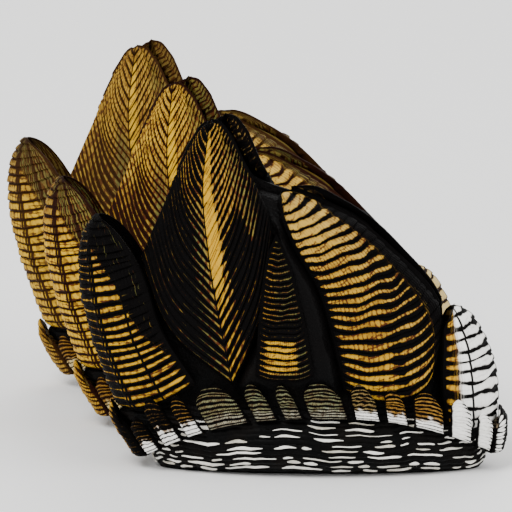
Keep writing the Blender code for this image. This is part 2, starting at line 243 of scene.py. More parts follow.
def through(places, values, at):
    """Smooth curve through the given values: cubic pieces that share the mean slope at each place."""
    places, values = np.asarray(places, float), np.asarray(values, float)
    slopes = np.gradient(values, places)
    at = np.clip(at, places[0], places[-1])
    i = np.clip(np.searchsorted(places, at) - 1, 0, len(places) - 2)
    width = places[i + 1] - places[i]
    t = (at - places[i]) / width
    start = (1 + 2 * t) * (1 - t) ** 2 * values[i] + t * (1 - t) ** 2 * width * slopes[i]
    end = t * t * (3 - 2 * t) * values[i + 1] - t * t * (1 - t) * width * slopes[i + 1]
    return start + end


def along(points, share):
    """Points at the given shares of the length of a smooth curve through (x, z) points."""
    points = np.asarray(points, float)
    steps = np.hypot(*np.diff(points, axis=0).T)
    places = np.concatenate([[0.0], np.cumsum(steps)]) / steps.sum()
    return np.stack([through(places, points[:, 0], share), through(places, points[:, 1], share)], -1)


def outline_x(outline, z):
    """The outline's x at height z."""
    outline = np.asarray(sorted(outline, key=lambda point: point[1]), float)
    return through(outline[:, 1], outline[:, 0], z)


def head_half(z):
    """Half thickness of the living wall at height z, thinning to the crest."""
    share = np.clip((z - TAPER_FROM) / (CREST - TAPER_FROM), 0, 1)
    return CREST_HALF + (HEAD_HALF - CREST_HALF) * (1 - share**TAPER)


def lens(x, left, right, half):
    """Half thickness at x of a lens-shaped section between its left and right ends."""
    share = (2 * x - left - right) / (right - left)
    return half * np.sqrt(np.clip(1 - share**2, 0, 1))


def wall(x, z):
    """Half thickness of the living wall at (x, z)."""
    left = outline_x(LEFT_OUTLINE, z) - EDGE_ROUND
    right = outline_x(RIGHT_OUTLINE, z) + EDGE_ROUND
    return lens(x, left, right, head_half(z))


def rise(value, low, high):
    """0 below low, 1 above high, and a smooth step between them."""
    share = np.clip((value - low) / (high - low), 0, 1)
    return share * share * (3 - 2 * share)


def band(value, low, high, soft):
    """1 between low and high, fading to 0 over soft on both sides."""
    return rise(value, low - soft, low + soft) * (1 - rise(value, high - soft, high + soft))


def to_far_side(points):
    """Mirrors near-side points to the far side, whose upper parts stand higher and further right."""
    x, y, z = np.moveaxis(points, -1, 0)
    lift = rise(z, FAR_SHIFT_FROM, CREST)
    return np.stack([x + FAR_SHIFT[0] * lift, -y, z + FAR_SHIFT[1] * lift], -1)


# ---------------------------------------------------------------- outer faces of the plates

def thinned(v):
    """How much of the full thickness is missing near the tip of a plate."""
    return PLATE_THICK * (1 - TIP_THICKNESS) * (1 - np.minimum(v / THIN_AT_TIP, 1))


def valve_surface(valve, u, v):
    """Outer face of a valve: its margin drawn in towards the apex by v, bent at the edges and the keel to
    their own curves, and laid on the living wall with a soft fold along the keel. u runs from -1 at the
    left edge over 0 at the keel to 1 at the right edge."""
    apex = np.asarray(valve["keel"][0], float)

    def bend(edge, share):
        return along(valve[edge], share) - (apex + v[..., None] * (np.asarray(valve[edge][-1]) - apex))

    before = along(valve["margin_left"], 1 + np.minimum(u, 0))
    after = along(valve["margin_right"], np.maximum(u, 0))
    flat = apex + v[..., None] * (np.where(u[..., None] < 0, before, after) - apex)
    flat += np.maximum(-u, 0)[..., None] * bend("left", v)
    flat += np.maximum(u, 0)[..., None] * bend("right", v ** valve["lead"])
    flat += (1 - np.abs(u))[..., None] * bend("keel", v)
    x, z = flat[..., 0], flat[..., 1]
    fold = valve["fold"] * v * np.exp(-((u / valve["ridge_wide"]) ** 2))
    return np.stack([x, -(wall(x, z) + valve["out"] + fold - thinned(v)), z], -1)


def hood_surface(hood, u, v):
    """Outer face of a carina or rostrum: at each v a half lens from the near wing's edge round the keel to
    the far wing's edge, with u as the turn round it, sagging between the keel and the wings."""
    across = 1 - np.cos(np.pi / 2 * np.abs(u))
    keel, wing = along(hood["keel"], v), along(hood["wing"], v)
    flat = keel + (wing - keel) * across[..., None]
    x, z = flat[..., 0], flat[..., 1] - hood["sag"] * v * np.sin(np.pi * across)
    keel_x = outline_x(hood["keel"], z)
    out = hood["out"]
    if hood["side"] < 0:
        half = lens(np.maximum(x, keel_x), keel_x, outline_x(RIGHT_OUTLINE, z) + out, head_half(z) + out)
    else:
        half = lens(np.minimum(x, keel_x), outline_x(LEFT_OUTLINE, z) - out, keel_x, head_half(z) + out)
    return np.stack([x, np.sign(u) * half, z], -1)


def ring_height(ring, angle):
    """Height of a whorl ring: high on the flanks, low at the carinal and rostral ends."""
    end = np.where(np.cos(angle) > 0, ring["carinal"], ring["rostral"])
    return ring["flank"] - (ring["flank"] - end) * np.abs(np.cos(angle)) ** WHORL_DIP


def whorl_surface(middle, half_angle, plate, u, v, reach=1.0):
    """Outer face of one whorl plate: v grows from its rounded tip to its foot, u goes across it, between
    the oval ring of the tips and the oval ring of the feet."""
    widen = (1 - (1 - v) ** plate["round"]) ** plate["square"]
    angle = middle + half_angle * u * widen
    up = (1 - v) * (1 - plate["shoulder"] * u * u) * reach
    out = plate["bulge"] * (1 - u * u) * np.sqrt(np.clip(np.sin(np.pi * v), 0, 1)) - thinned(v)

    def between(name):
        return WHORL_FOOT[name] + (WHORL_TIPS[name] - WHORL_FOOT[name]) * up

    x = between("centre") - (between("half_long") + out) * np.cos(angle)
    y = -(between("half_thick") + out) * np.sign(np.sin(angle)) * np.abs(np.sin(angle)) ** between("blunt")
    foot, tip = ring_height(WHORL_FOOT, angle), ring_height(WHORL_TIPS, angle)
    return np.stack([x, y, foot + (tip - foot) * up], -1)


def whorl_angles():
    """Middles and half widths of the near side's plates, as angles round the oval, and an end plate's half
    width: the oval's length is shared out by the plates' widths, less the gaps between them."""
    angle = np.linspace(0, np.pi, 2000)
    long_half, thick_half = WHORL_FOOT["half_long"], WHORL_FOOT["half_thick"]
    along_x, along_y = long_half * np.cos(angle), thick_half * np.sin(angle) ** WHORL_FOOT["blunt"]
    steps = np.hypot(np.diff(along_x), np.diff(along_y))
    length = np.concatenate([[0], np.cumsum(steps)])
    start, stop = END_PLATE_WIDTH / 2, length[-1] - END_PLATE_WIDTH / 2
    shares = np.concatenate([[0], np.cumsum(WHORL_WIDTHS)]) / np.sum(WHORL_WIDTHS)
    edges = start + (stop - start) * shares
    low = np.interp(edges[:-1] + WHORL_GAP / 2, length, angle)
    high = np.interp(edges[1:] - WHORL_GAP / 2, length, angle)
    ends = np.interp(start - WHORL_GAP / 2, length, angle)
    return (low + high) / 2, (high - low) / 2, ends


# ---------------------------------------------------------------- stalk

def skin_swell(x, z):
    """How far the mantle swells under the upper latus, in the gap between the tergum and the scutum."""
    low, high = outline_x(TERGUM["margin_right"], z), outline_x(SCUTUM["left"], z)
    swell = SKIN_SWELL * rise(x, low + 0.1, low + 1.1) * (1 - rise(x, high - 1.1, high - 0.1))
    return swell * rise(z, 8.0, 11.2)


def skin_surface(angle, z):
    """Skin of the stalk and the mantle above it: an upright lens section at each height, with angle 0 at
    its left end, the near side up to pi and the far side after it. The mantle is blunt at both ends."""
    turn = np.cos(angle)
    sections = np.asarray(STALK, float).T
    left, right, half = (through(sections[0], values, z) for values in sections[1:])
    stalk_x = (left + right) / 2 - (right - left) / 2 * turn
    stalk_half = lens(stalk_x, left, right, half)
    high = np.maximum(z, MANTLE_FROM)
    inset = MANTLE_INSET * np.clip((high - MANTLE_INSET_FROM) / (MANTLE_TOP - MANTLE_INSET_FROM), 0, 1)
    left = outline_x(LEFT_OUTLINE, high) + MANTLE_ENDS + inset
    right = outline_x(RIGHT_OUTLINE, high) - MANTLE_ENDS - inset
    mantle_x = (left + right) / 2 - (right - left) / 2 * turn
    mantle_half = wall(mantle_x, high) - SKIN_GAP - MANTLE_THINNING * inset + skin_swell(mantle_x, high)
    mantle_half = np.maximum(mantle_half, 0) * np.sqrt(np.clip(1 - turn**MANTLE_BLUNT, 0, 1))
    share = rise(z, JOIN_FROM, MANTLE_FROM)
    x = stalk_x + (mantle_x - stalk_x) * share
    half = stalk_half + (mantle_half - stalk_half) * share
    points = np.stack([x, -half, z], -1)
    return np.where((angle <= np.pi)[..., None], points, to_far_side(points))


def wrinkle_phase(angle, z, seed):
    """Number of wrinkles of the stalk up to height z, plus a sum of four waves round it."""
    waves = np.random.default_rng(seed).uniform(0, 2 * np.pi, 4)
    wave = 0.45 * np.sin(3 * angle + waves[0]) + 0.30 * np.sin(7 * angle + waves[1])
    wave = wave + 0.16 * np.sin(17 * angle + waves[2]) + 0.08 * np.sin(41 * angle + waves[3])
    return z / WRINKLE_STEP + wave


def wrinkled_skin(angle, z, seed):
    """The skin moved along its normals by its wrinkles, which are sines of the wrinkle phase pinched where
    they meet, and by a few upright pleats. It bulges at both ends, under the carina's and rostrum's feet."""
    base = skin_surface(angle, z)
    turn = np.cos(angle)
    swell = np.where(turn > 0, *END_SWELL)
    bulge = swell * band(z, 4.8, 7.4, 1.6) * rise(np.abs(turn), 0.70, 0.98)
    base = base - np.sign(turn)[..., None] * bulge[..., None] * (1, 0, 0)
    normal = outward(base, (0, 0, 0))
    phase = wrinkle_phase(angle, z, seed)
    fold = np.abs(np.sin(np.pi * phase)) ** 0.7 - 0.6
    pleat = np.sin(38 * angle + 2.2 * np.sin(5 * angle)) * np.sin(23 * angle + 1.3)
    low_band = rise(z, 0.15, 0.8) * (1 - rise(z, 7.4, 9.0))
    return base + normal * (low_band * (WRINKLE_HEIGHT * fold + PLEAT_HEIGHT * pleat))[..., None]


# ---------------------------------------------------------------- meshes

def outward(points, middle):
    """Unit normals of a grid of points, turned away from the middle point."""
    normal = np.cross(np.gradient(points, axis=1), np.gradient(points, axis=0))
    normal /= np.maximum(np.linalg.norm(normal, axis=-1, keepdims=True), 1e-9)
    if np.sum(normal * (points - np.asarray(middle))) < 0:
        normal = -normal
    return normal


def place_of(rank):
    """Scale and foot of a barnacle, read from the frame's box of its stalk."""
    low, high = (np.array(corner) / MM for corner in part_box(f"{rank}_stalk"))
    scale = (high[2] - low[2]) / MANTLE_TOP
    angle, z = np.meshgrid(np.linspace(0, 2 * np.pi, 57), np.linspace(0, MANTLE_TOP, 60))
    plain = turned(skin_surface(angle, z), rank) * scale
    middle = (plain.min((0, 1)) + plain.max((0, 1))) / 2
    foot = (low + high) / 2 - middle
    foot[2] = low[2]
    return scale, foot


def turned(points, rank):
    """Points turned about the upright axis by the barnacle's own turn."""
    turn = math.radians(RANKS[rank][0])
    x, y, z = np.moveaxis(points, -1, 0)
    sine, cosine = math.sin(turn), math.cos(turn)
    return np.stack([x * cosine - y * sine, x * sine + y * cosine, z], -1)


def in_cluster(points, rank):
    """A barnacle's own points, placed in the cluster, in metres."""
    scale, foot = PLACES[rank]
    return (turned(points, rank) * scale + foot) * MM


def add_piece(name, points, quads, triangles, fields, growth, finish):
    """One mesh object from arrays: points in metres, faces, a number for each field and point, and where
    growth is given, a UV map with a pair for each face corner."""
    faces = [*map(tuple, quads.tolist()), *map(tuple, triangles.tolist())]
    mesh = bpy.data.meshes.new(name)
    mesh.from_pydata(points.reshape(-1, 3).tolist(), [], faces)
    mesh.update()
    for field, values in fields.items():
        layer = mesh.attributes.new(field, "FLOAT", "POINT")
        layer.data.foreach_set("value", np.ascontiguousarray(values, dtype=np.float32).ravel())
    if growth is not None:
        uv = mesh.uv_layers.new(name="growth")
        uv.data.foreach_set("uv", np.ascontiguousarray(growth, dtype=np.float32).ravel())
    mesh.shade_smooth()
    mesh.set_sharp_from_angle(angle=math.radians(SHARP_ANGLE))
    mesh.materials.append(finish)
    piece = bpy.data.objects.new(name, mesh)
    bpy.context.scene.collection.objects.link(piece)
    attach(piece, "root")
    return piece


def plate_mesh(outer, inner, u, phase):
    """Faces of a closed plate whose outer and inner faces are grids with the same edge and whose first row
    is one tip point: returns points, quads, triangles, the face corners' (u, phase), and the grid cells of
    one side's points. Each face is first a list of grid cells and of sides, outer or inner."""
    rows, across = outer.shape[:2]
    cell = np.arange(rows * across).reshape(rows, across)
    quad = np.stack([cell[1:-1, :-1], cell[2:, :-1], cell[2:, 1:], cell[1:-1, 1:]], -1).reshape(-1, 4)
    fan = np.stack([cell[0, :-1], cell[1, :-1], cell[1, 1:]], -1)
    edge = np.concatenate([cell[:, 0], cell[-1, 1:-1], cell[::-1, -1][:-1]])
    after = np.roll(edge, -1)
    quads = np.concatenate([quad, quad[:, ::-1], np.stack([edge, after, after, edge], -1)])
    fans = np.concatenate([fan, fan[:, ::-1]])
    counts = [len(quad), len(quad), len(edge)]
    quad_sides = np.repeat([(0, 0, 0, 0), (1, 1, 1, 1), (1, 1, 0, 0)], counts, axis=0)
    fan_sides = np.repeat([(0, 0, 0), (1, 1, 1)], len(fan), axis=0)

    half = across // 2
    normal = np.cross(outer[-1, half] - outer[-2, half], outer[-2, half + 1] - outer[-2, half - 1])
    if np.dot(normal, (outer - inner)[-2, half]) <= 0:
        quads, quad_sides = quads[:, ::-1], quad_sides[:, ::-1]
        fans, fan_sides = fans[:, ::-1], fan_sides[:, ::-1]
    loops = np.concatenate([quads.ravel(), fans.ravel()])
    growth = np.stack([u.ravel()[loops], phase.ravel()[loops]], -1)

    points = np.concatenate([outer[0, :1], outer[1:].reshape(-1, 3), inner[0, :1], inner[1:].reshape(-1, 3)])
    number = np.maximum(np.arange(rows * across) - across + 1, 0)
    count = len(points) // 2
    kept = np.concatenate([[half], np.arange(across, rows * across)])
    return points, number[quads] + count * quad_sides, number[fans] + count * fan_sides, growth, kept


def growth_grid(plate, seed):
    """Grid of u, phase and v for a plate, and its random numbers: rows follow its growth ridges, whose
    spacing and course wander as sums of four slow waves, and columns crowd at the edges and lie on the
    ribs. Where a plate is steep, the ridges climb towards the edges in its upper part."""
    random = np.random.default_rng(seed)
    ridges = plate["ridges"]
    rows = np.append(np.add.outer(np.arange(ridges), RIDGE_ROWS).ravel(), ridges)
    columns = [*np.linspace(-1, 1, plate["across"] + 1), *EDGE_COLUMNS, *plate["ribs"]]
    u, phase = np.meshgrid(np.unique(np.round(columns, 6)), rows)
    share = phase / ridges
    spacing = course = 0.0
    for k, (first, second, third) in enumerate(random.uniform(-1, 1, (4, 3))):
        spacing = spacing + first * np.sin(2 * np.pi * (k + 2) * share + 6 * second) / (k + 1)
        course = course + third * np.sin((k + 1.7) * 2.4 * u + 9 * share * (k + 1) + 6 * first)
    v = share * (1 - plate["steep"] * np.abs(u) * (1 - share))
    v = v + (spacing * SPACING_WANDER + course * COURSE_WANDER) / ridges * 4 * share * (1 - share)
    return u, phase, np.clip(v, 0, 1), random


def ridge_heights(phase, random, ridges):
    """Height of the growth ridges, 0 to 1: each climbs from its groove and ends in a short step, and some
    ridges are stronger than others."""
    within = np.interp(np.mod(phase, 1.0), [*RIDGE_ROWS, 1.0], [*RIDGE_HEIGHTS, 0.0])
    strength = random.uniform(0.65, 1.15, ridges + 1)
    strength[::5] *= 1.25
    return within * strength[np.minimum(phase.astype(int), ridges)]


def spans(points):
    """Distances in the grid: from the left edge, from the right edge, and up from the last row."""
    steps = np.linalg.norm(np.diff(points, axis=1), axis=-1)
    from_left = np.concatenate([np.zeros((len(points), 1)), np.cumsum(steps, axis=1)], axis=1)
    drops = np.linalg.norm(np.diff(points, axis=0), axis=-1)
    up = np.concatenate([np.cumsum(drops[::-1], axis=0)[::-1], np.zeros((1, points.shape[1]))])
    return from_left, from_left[:, -1:] - from_left, up


def add_plate(name, rank, plate, grid, base, zones, finish, nodes):
    """One shell plate: growth ridges and ribs raised on its outer face along its normals, edges rolled off,
    tip thinned, and the zones of stain and tint written on its points. It stands for the given CAD nodes."""
    u, phase, v, random = grid
    ridges = plate["ridges"]
    normal = outward(base, (0.0, 0.0, base[..., 2].mean()))
    normal[0] = normal[1].mean(0)
    normal /= np.linalg.norm(normal, axis=-1, keepdims=True)
    left, right, up = spans(base)
    rim = np.minimum(np.minimum(left, right), up)
    rib = np.full_like(u, NO_RIB)
    for place in plate["ribs"]:
        column = int(np.argmin(np.abs(u[0] - place)))
        rib = np.minimum(rib, np.abs(left - left[:, column:column + 1]))
    relief = plate["relief"] * ridge_heights(phase, random, ridges) * rise(rim, 0.0, ROLL_WIDTH)
    relief = relief + plate["rib_height"] * np.exp(-((rib / RIB_HALF) ** 2)) * rise(v, 0.02, 0.2)
    swell = random.uniform(0, 6.28, 3)
    slow = np.sin(5 * u + swell[0]) * np.sin(7 * v + swell[1])
    relief = relief + SWELL_HEIGHT * slow * rise(rim, 0.0, 1.5)
    thick = plate["thick"] * (TIP_THICKNESS + (1 - TIP_THICKNESS) * np.clip(v / THIN_AT_TIP, 0, 1))
    roll = np.minimum(ROLL_HEIGHT * (1 - np.clip(rim / ROLL_WIDTH, 0, 1)) ** 2, ROLL_SHARE * thick)
    outer = base + normal * (relief - roll)[..., None]
    inner = base - normal * thick[..., None]
    outer[0], inner[0] = outer[0].mean(0), inner[0].mean(0)
    points, quads, fans, growth, cells = plate_mesh(outer, inner, u, phase)
    values = dict(zones(u, phase / ridges), rim=rim, rib=rib, lot=random.uniform(0, 50))
    fields = {zone: np.tile(np.broadcast_to(value, u.shape).ravel()[cells], 2)
              for zone, value in values.items()}
    fields["inside"] = np.repeat((0.0, 1.0), len(cells))
    piece = add_piece(name, in_cluster(points, rank), quads, fans, fields, growth, finish)
    if nodes:
        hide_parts(*nodes)


# ---------------------------------------------------------------- zones of a plate
# Each function gives numbers from about 0 to 1 for every (u, s), as sums of bands: stain widens the dark
# growth lines, a little as staining in the grooves and far more as painted shade along the plates' edges and
# over their shaded parts; moss is green, glow bright ochre, which on the tergum is a painted highlight,
# bleach the pale tone, and wing striped from tip to foot.

def tergum_zones(u, s):
    """Painted shade down both flanks of the keel: darker over its left half, in broad bands low on both
    halves, and along the edges and at the tip. Green beside the keel and at the free edge, and a painted
    highlight strip on its right, where the lines thin."""
    # A painted highlight along the right side of the keel, which also thins the lines there.
    strip = band(u, 0.0, 0.21 - 0.10 * rise(s, 0.45, 0.85), 0.04) * rise(s, 0.03, 0.10)
    # Painted shade widens the lines: over the left half, in broad bands low on both halves, along the edges
    # and at the tip.
    stain_and_painted_shade = 0.19 + 0.14 * rise(-u, 0.0, 0.25) + 0.10 * rise(s, 0.5, 0.9)
    stain_and_painted_shade -= 0.45 * strip * (1 - rise(s, 0.5, 0.8))
    stain_and_painted_shade += 0.80 * band(u, -0.76, -0.34, 0.10) * rise(s, 0.40, 0.58)
    stain_and_painted_shade += 0.20 * rise(-u, 0.70, 0.84) * rise(s, 0.34, 0.60)
    stain_and_painted_shade += 0.6 * rise(-u, 0.2, 0.5) * rise(s, 0.74, 0.86)
    stain_and_painted_shade += 0.85 * band(u, 0.26, 0.60, 0.05) * rise(s, 0.50, 0.64)
    stain_and_painted_shade += 0.15 * rise(u, 0.70, 0.9) * rise(s, 0.05, 0.3) + 0.7 * rise(u, 0.24, 0.34) * rise(s, 0.74, 0.86)
    stain_and_painted_shade += 0.20 * (1 - rise(s, 0.03, 0.10)) + 0.25 * rise(u, 0.78, 1.0) * (1 - rise(s, 0.10, 0.25))
    moss = 0.9 * band(u, -0.34, -0.03, 0.07) * rise(s, 0.25, 0.45)
    moss += 0.45 * band(u, -0.8, -0.3, 0.2) * rise(s, 0.4, 0.7)
    moss += 0.75 * band(u, 0.62, 1.2, 0.12) * rise(s, 0.10, 0.3)
    return dict(stain_and_painted_shade=stain_and_painted_shade, moss=moss, glow=strip, bleach=0.0, wing=0.0)


def scutum_zones(u, s):
    """Pale at the tip, ochre below, a dark streak along the keel low down, painted shade along the left
    margin and over the free edge, and a free edge striped lengthwise."""
    streak = band(u, -0.12, 0.06, 0.05) * rise(s, 0.55, 0.8)
    edge = rise(u, 0.68, 0.78)
    stain_and_painted_shade = 0.01 + 0.13 * rise(s, 0.20, 0.45) + 0.18 * streak + 0.14 * np.abs(u + 0.25)
    stain_and_painted_shade += 0.07 * band(u, 0.05, 0.7, 0.10) * rise(s, 0.40, 0.6) * (1 - rise(s, 0.86, 0.95))
    # Painted shade along the left margin and, heavily, over the free edge.
    stain_and_painted_shade += 0.30 * rise(-u, 0.84, 1.0) + 0.9 * edge + 0.08 * rise(s, 0.93, 1.0)
    glow = 0.35 + 0.6 * rise(s, 0.72, 0.9)
    bleach = (0.22 * (1 - rise(s, 0.10, 0.50)) + 0.12 * band(u, 0.1, 0.6, 0.15)) * (1 - edge)
    return dict(stain_and_painted_shade=stain_and_painted_shade, moss=0.9 * edge, glow=glow * (1 - edge), bleach=bleach, wing=edge)


def latus_zones(u, s):
    """Grey-green above, a yellow strip down the left, a bright band near the margin and painted shade at both
    sides.
    """
    bright = band(s, 0.72, 0.93, 0.02) * band(u, -0.66, 0.46, 0.08)
    stain_and_painted_shade = 0.35 + 0.5 * rise(-u, 0.84, 0.98) + 0.4 * rise(u, 0.88, 1.0) + 0.10 * band(s, 0.60, 0.72, 0.03)
    stain_and_painted_shade -= 0.26 * bright
    moss = 0.95 * rise(u, -0.45, -0.15) * (1 - bright) + 0.3 * rise(u, 0.5, 0.7)
    return dict(stain_and_painted_shade=stain_and_painted_shade, moss=moss, glow=bright, bleach=0.25 * rise(s, 0.93, 1.0), wing=0.0)


def carina_zones(u, s):
    """Bright cells on the back between the ribs, green near the tip, dark wings striped from tip to foot that
    narrow downwards, and painted shade along the keel, on each wing's border and at the edges."""
    side = np.abs(u)
    start = np.interp(s, (0.0, 0.08, 0.2, 0.4, 0.6, 0.9), (0.08, 0.27, 0.58, 0.76, 0.87, 1.08))
    wing = rise(side - start, -0.05, 0.05)
    stain_and_painted_shade = 0.20 + 0.03 * rise(s, 0.4, 0.8) + 0.60 * wing + 0.25 * rise(side, 0.94, 1.0)
    stain_and_painted_shade += 0.16 * (1 - rise(side, 0.34, 0.45)) + 0.9 * band(side - start, -0.02, 0.02, 0.02)
    moss = 0.5 * (1 - rise(s, 0.08, 0.26)) * (1 - wing) + 0.95 * wing * (1 - rise(s, 0.45, 0.7))
    glow = (1 - wing) * rise(s, 0.20, 0.40)
    return dict(stain_and_painted_shade=stain_and_painted_shade, moss=moss, glow=glow, bleach=0.0, wing=wing)


def rostrum_zones(u, s):
    """Bone white, an ochre strip along each wing, ragged painted shade along the keel and painted shade at
    the edges.
    """
    side = np.abs(u)
    strip = rise(side, 0.77, 0.83)
    ragged = 0.06 + 0.06 * s + 0.05 * np.sin(23 * s) + 0.03 * np.sin(61 * s + 1)
    stain_and_painted_shade = 0.17 * (1 - rise(side - ragged, 0.0, 0.22)) + 0.12 * strip + 0.06 + 0.5 * rise(side, 0.95, 1.0)
    wing = 0.35 * band(side, 0.76, 0.86, 0.03)
    return dict(stain_and_painted_shade=stain_and_painted_shade, moss=0.0, glow=strip, bleach=1 - strip, wing=wing)


def whorl_zones(place):
    """Zones of the whorl plate at that place from the carinal end: ochre tops with white feet at the carinal
    end and under the scutum, grey-green plates between them, and bone white at the rostral end. Painted shade
    darkens the tops under the valves, most at the carinal end, and the plates' sides."""
    moss = 0.95 * band(place, 2.5, 7.0, 0.6)
    bone = rise(place, 9.2, 9.8)
    dark = 0.30 * (1 - rise(place, 1.6, 2.6))
    foot = 1 - band(place, 2.4, 6.6, 0.3)

    def zones(u, s):
        ragged = s + 0.05 * np.sin(5 * u + 2.3 * place) + 0.03 * np.sin(13 * u + place)
        white = np.maximum(rise(ragged, 0.58, 0.74) * (0.15 + 0.85 * foot), bone)
        # Painted shade widens the lines at the tips under the valves, at the carinal end and along the sides.
        stain_and_painted_shade = (0.24 + dark + 0.20 * (1 - rise(s, 0.03, 0.15))) * (1 - white)
        stain_and_painted_shade += 0.25 * rise(np.abs(u), 0.88, 1.0) - 0.28 * bone * (1 - rise(u, -0.1, 0.35))
        green, glow = moss * (1 - white), (1 - moss) * (1 - white)
        return dict(stain_and_painted_shade=stain_and_painted_shade, moss=green, glow=glow, bleach=white, wing=0.0)

    return zones


def subcarina_zones(u, s):
    """Ochre, darker towards both sides, away from the keel."""
    side = np.abs(u)
    return dict(stain_and_painted_shade=0.12 + 0.5 * rise(side, 0.35, 0.7), moss=0.0, glow=1 - rise(side, 0.2, 0.5),
                bleach=0.35 * rise(s, 0.8, 1.0), wing=0.0)


def subrostrum_zones(u, s):
    """Bone white, with painted shade along the keel and at the sides."""
    side = np.abs(u)
    stain_and_painted_shade = 0.06 + 0.45 * (1 - rise(side, 0.42, 0.62)) + 0.25 * rise(side, 0.8, 1.0)
    return dict(stain_and_painted_shade=stain_and_painted_shade, moss=0.0, glow=0.0, bleach=1.0, wing=0.0)


# ---------------------------------------------------------------- finishes

class Wire:
    """A node's socket, used in Python expressions: each operation on it adds its Math node."""

    def __init__(self, finish, socket):
        self.finish, self.socket = finish, socket

    def maths(self, operation, *values):
        return self.finish.add("ShaderNodeMath", {"operation": operation}, dict(enumerate(values)))

    def __add__(self, other):
        return self.maths("ADD", self, other)

    def __sub__(self, other):
        return self.maths("SUBTRACT", self, other)

    def __rsub__(self, other):
        return self.maths("SUBTRACT", other, self)

    def __mul__(self, other):
        return self.maths("MULTIPLY", self, other)

    def __abs__(self):
        return self.maths("ABSOLUTE", self)

    __radd__ = __add__
    __rmul__ = __mul__

    def within(self):
        """The share past the last whole number."""
        return self.maths("FRACT", self)

    def whole(self):
        return self.maths("FLOOR", self)

    def most(self, other):
        return self.maths("MAXIMUM", self, other)

    def least(self, other):
        return self.maths("MINIMUM", self, other)

    def step(self, low, high):
        """0 below low, 1 above high, smooth between them; low and high are numbers or wires."""
        return self.finish.add("ShaderNodeMapRange", {"interpolation_type": "SMOOTHSTEP"},
                               {"Value": self, "From Min": low, "From Max": high})

    def under(self, limit, soft):
        """1 below the limit, 0 above it, smooth over soft on both sides."""
        return 1 - self.step(limit - soft, limit + soft)

    def from_line(self):
        """Distance, 0 to 0.5, from the line that lies halfway between two whole numbers."""
        return abs(self.within() - 0.5)


class Finish:
    """A material built on the Principled shader."""

    def __init__(self, name, **constants):
        self.material = bpy.data.materials.new(name)
        self.material.use_nodes = True
        tree = self.material.node_tree
        self.nodes, self.links = tree.nodes, tree.links
        self.shader = self.nodes["Principled BSDF"]
        for socket, value in constants.items():
            self.shader.inputs[socket.replace("_", " ")].default_value = value

    def add(self, kind, settings, inputs, output=0):
        """Adds a node: its settings first, then the value or the link of each named or numbered socket."""
        node = self.nodes.new(kind)
        for setting, value in settings.items():
            setattr(node, setting, value)
        for key, value in inputs.items():
            self.feed(node.inputs[key], value)
        return Wire(self, node.outputs[output])

    def feed(self, socket, value):
        if isinstance(value, Wire):
            self.links.new(value.socket, socket)
        else:
            socket.default_value = value

    def field(self, name):
        return self.add("ShaderNodeAttribute", {"attribute_name": name}, {}, output="Fac")

    def place(self):
        return self.add("ShaderNodeTexCoord", {}, {}, output="Object")

    def growth(self):
        """The piece's own u and phase, as two wires."""
        uv = self.add("ShaderNodeUVMap", {"uv_map": "growth"}, {})
        return [self.add("ShaderNodeSeparateXYZ", {}, {0: uv}, output=axis) for axis in (0, 1)]

    def vector(self, x, y, z):
        return self.add("ShaderNodeCombineXYZ", {}, {0: x, 1: y, 2: z})

    def noise(self, at, scale, detail, roughness=0.5):
        inputs = {"Vector": at, "Scale": scale, "Detail": detail, "Roughness": roughness}
        return self.add("ShaderNodeTexNoise", {}, inputs)

    def chance(self, number):
        """A number from 0 to 1 that is the same for equal inputs."""
        return self.add("ShaderNodeTexWhiteNoise", {"noise_dimensions": "1D"}, {"W": number})

    def mix(self, first, second, share):
        return self.add("ShaderNodeMix", {"data_type": "RGBA"}, {0: share, 6: first, 7: second}, output=2)

    def bump(self, height, depth_mm):
        return self.add("ShaderNodeBump", {}, {"Strength": 1.0, "Distance": depth_mm * MM, "Height": height})

    def done(self, colour, roughness, normal):
        self.feed(self.shader.inputs["Base Color"], colour)
        self.feed(self.shader.inputs["Roughness"], roughness)
        self.feed(self.shader.inputs["Normal"], normal)
        return self.material


